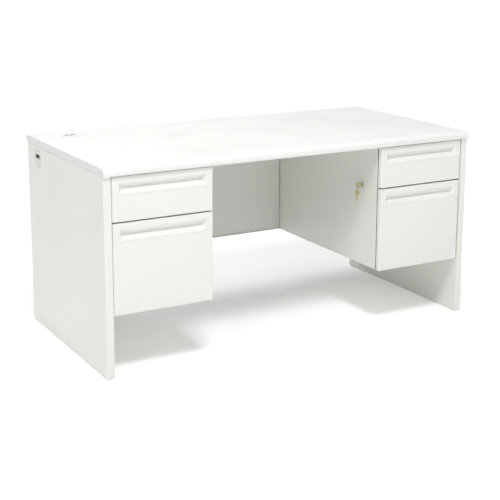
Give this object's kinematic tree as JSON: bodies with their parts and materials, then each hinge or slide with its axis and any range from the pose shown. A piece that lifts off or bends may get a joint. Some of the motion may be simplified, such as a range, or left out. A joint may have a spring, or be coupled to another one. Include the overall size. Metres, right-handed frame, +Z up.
{
  "type": "teacher desk",
  "caption": "White steel double-pedestal desk with a round-nosed laminate worktop, box-over-file drawers, full end panels, cable grommets and a side lock with keys.",
  "frame": {"origin": "on the floor, under the middle of the worktop", "axes": "+X towards the sitter's right hand, -Y towards the sitter, out of the drawer fronts, +Z up"},
  "size_m": [1.5255, 0.762, 0.7315],
  "materials": {
    "white_laminate": "satin",
    "white_paint": "satin",
    "case_paint": "satin",
    "zinc_steel": "satin",
    "nickel": "gloss",
    "brass": "satin",
    "white_plastic": "satin",
    "glide_plastic": "matte"
  },
  "bodies": {
    "desk_frame": {"worktop": "white_laminate", "modesty_panel": "white_paint", "modesty_panel_liner": "case_paint", "top_grommet_sleeve": "white_plastic", "side_grommet_sleeve": "white_plastic", "lock_housing": "nickel", "left_end_panel": "white_paint", "left_end_panel_liner": "case_paint", "left_pedestal_kneespace_side": "case_paint", "left_pedestal_outer_side": "case_paint", "left_pedestal_back": "case_paint", "left_pedestal_floor": "case_paint", "left_pedestal_cross_rail": "case_paint", "left_box_drawer_kneespace_case_rail": "zinc_steel", "left_box_drawer_outer_case_rail": "zinc_steel", "left_file_drawer_kneespace_case_rail": "zinc_steel", "left_file_drawer_outer_case_rail": "zinc_steel", "right_end_panel": "white_paint", "right_end_panel_liner": "case_paint", "right_pedestal_kneespace_side": "case_paint", "right_pedestal_outer_side": "case_paint", "right_pedestal_back": "case_paint", "right_pedestal_floor": "case_paint", "right_pedestal_cross_rail": "case_paint", "right_box_drawer_kneespace_case_rail": "zinc_steel", "right_box_drawer_outer_case_rail": "zinc_steel", "right_file_drawer_kneespace_case_rail": "zinc_steel", "right_file_drawer_outer_case_rail": "zinc_steel"},
    "left_box_drawer": {"left_box_drawer_front": "white_paint", "left_box_drawer_body": "case_paint", "left_box_drawer_kneespace_drawer_rail": "zinc_steel", "left_box_drawer_outer_drawer_rail": "zinc_steel"},
    "left_file_drawer": {"left_file_drawer_front": "white_paint", "left_file_drawer_body": "case_paint", "left_file_drawer_kneespace_drawer_rail": "zinc_steel", "left_file_drawer_outer_drawer_rail": "zinc_steel"},
    "left_file_middle_rails": {"left_file_drawer_kneespace_middle_rail": "zinc_steel", "left_file_drawer_outer_middle_rail": "zinc_steel"},
    "left_front_glide": {"left_front_glide": "glide_plastic"},
    "left_rear_glide": {"left_rear_glide": "glide_plastic"},
    "right_box_drawer": {"right_box_drawer_front": "white_paint", "right_box_drawer_body": "case_paint", "right_box_drawer_kneespace_drawer_rail": "zinc_steel", "right_box_drawer_outer_drawer_rail": "zinc_steel"},
    "right_file_drawer": {"right_file_drawer_front": "white_paint", "right_file_drawer_body": "case_paint", "right_file_drawer_kneespace_drawer_rail": "zinc_steel", "right_file_drawer_outer_drawer_rail": "zinc_steel"},
    "right_file_middle_rails": {"right_file_drawer_kneespace_middle_rail": "zinc_steel", "right_file_drawer_outer_middle_rail": "zinc_steel"},
    "right_front_glide": {"right_front_glide": "glide_plastic"},
    "right_rear_glide": {"right_rear_glide": "glide_plastic"},
    "top_grommet_cap": {"top_grommet_cap": "white_plastic"},
    "side_grommet_cap": {"side_grommet_cap": "white_plastic"},
    "lock_plug": {"lock_plug": "nickel"},
    "upper_lock_bolt": {"upper_lock_bolt": "zinc_steel"},
    "lower_lock_bolt": {"lower_lock_bolt": "zinc_steel"},
    "key": {"key": "brass"},
    "key_ring": {"key_ring": "nickel"},
    "spare_key": {"spare_key": "brass"}
  },
  "joints": [
    {"name": "left_box_drawer_slide", "type": "slide", "parent": "desk_frame", "child": "left_box_drawer", "axis": [0, -1, 0], "range_m": [0, 0.41]},
    {"name": "left_file_drawer_slide", "type": "slide", "parent": "desk_frame", "child": "left_file_drawer", "axis": [0, -1, 0], "range_m": [0, 0.54]},
    {"name": "left_file_runner_slide", "type": "slide", "parent": "desk_frame", "child": "left_file_middle_rails", "axis": [0, -1, 0], "range_m": [0, 0.27]},
    {"name": "left_front_glide_screw", "type": "slide", "parent": "desk_frame", "child": "left_front_glide", "axis": [0, 0, -1], "range_m": [0, 0.015]},
    {"name": "left_rear_glide_screw", "type": "slide", "parent": "desk_frame", "child": "left_rear_glide", "axis": [0, 0, -1], "range_m": [0, 0.015]},
    {"name": "right_box_drawer_slide", "type": "slide", "parent": "desk_frame", "child": "right_box_drawer", "axis": [0, -1, 0], "range_m": [0, 0.41]},
    {"name": "right_file_drawer_slide", "type": "slide", "parent": "desk_frame", "child": "right_file_drawer", "axis": [0, -1, 0], "range_m": [0, 0.54]},
    {"name": "right_file_runner_slide", "type": "slide", "parent": "desk_frame", "child": "right_file_middle_rails", "axis": [0, -1, 0], "range_m": [0, 0.27]},
    {"name": "right_front_glide_screw", "type": "slide", "parent": "desk_frame", "child": "right_front_glide", "axis": [0, 0, -1], "range_m": [0, 0.015]},
    {"name": "right_rear_glide_screw", "type": "slide", "parent": "desk_frame", "child": "right_rear_glide", "axis": [0, 0, -1], "range_m": [0, 0.015]},
    {"name": "top_grommet_cap_lift", "type": "slide", "parent": "desk_frame", "child": "top_grommet_cap", "axis": [0, 0, 1], "range_m": [0, 0.025]},
    {"name": "side_grommet_cap_pull", "type": "slide", "parent": "desk_frame", "child": "side_grommet_cap", "axis": [-1, 0, 0], "range_m": [0, 0.025]},
    {"name": "lock_turn", "type": "hinge", "parent": "desk_frame", "child": "lock_plug", "pos_m": [0.3527, -0.25, 0.537], "axis": [1, 0, 0], "range_deg": [0, 90]},
    {"name": "upper_bolt_throw", "type": "slide", "parent": "desk_frame", "child": "upper_lock_bolt", "axis": [0, 0, 1], "range_m": [0, 0.0101]},
    {"name": "lower_bolt_throw", "type": "slide", "parent": "desk_frame", "child": "lower_lock_bolt", "axis": [0, 0, -1], "range_m": [0, 0.0101]},
    {"name": "key_withdraw", "type": "slide", "parent": "lock_plug", "child": "key", "axis": [-1, 0, 0], "range_m": [0, 0.024]},
    {"name": "key_ring_swing", "type": "hinge", "parent": "key", "child": "key_ring", "pos_m": [0.3307, -0.25, 0.5355], "axis": [0, 1, 0], "range_deg": [-10, 60]},
    {"name": "spare_key_swing", "type": "hinge", "parent": "key_ring", "child": "spare_key", "pos_m": [0.3307, -0.25, 0.5165], "axis": [0, 1, 0], "range_deg": [-10, 60]}
  ],
  "couplings": [
    {"joint": "left_file_runner_slide", "follows": "left_file_drawer_slide", "ratio": 0.5},
    {"joint": "right_file_runner_slide", "follows": "right_file_drawer_slide", "ratio": 0.5},
    {"joint": "upper_bolt_throw", "follows": "lock_turn", "m_per_rad": 0.006366},
    {"joint": "lower_bolt_throw", "follows": "lock_turn", "m_per_rad": 0.006366}
  ]
}
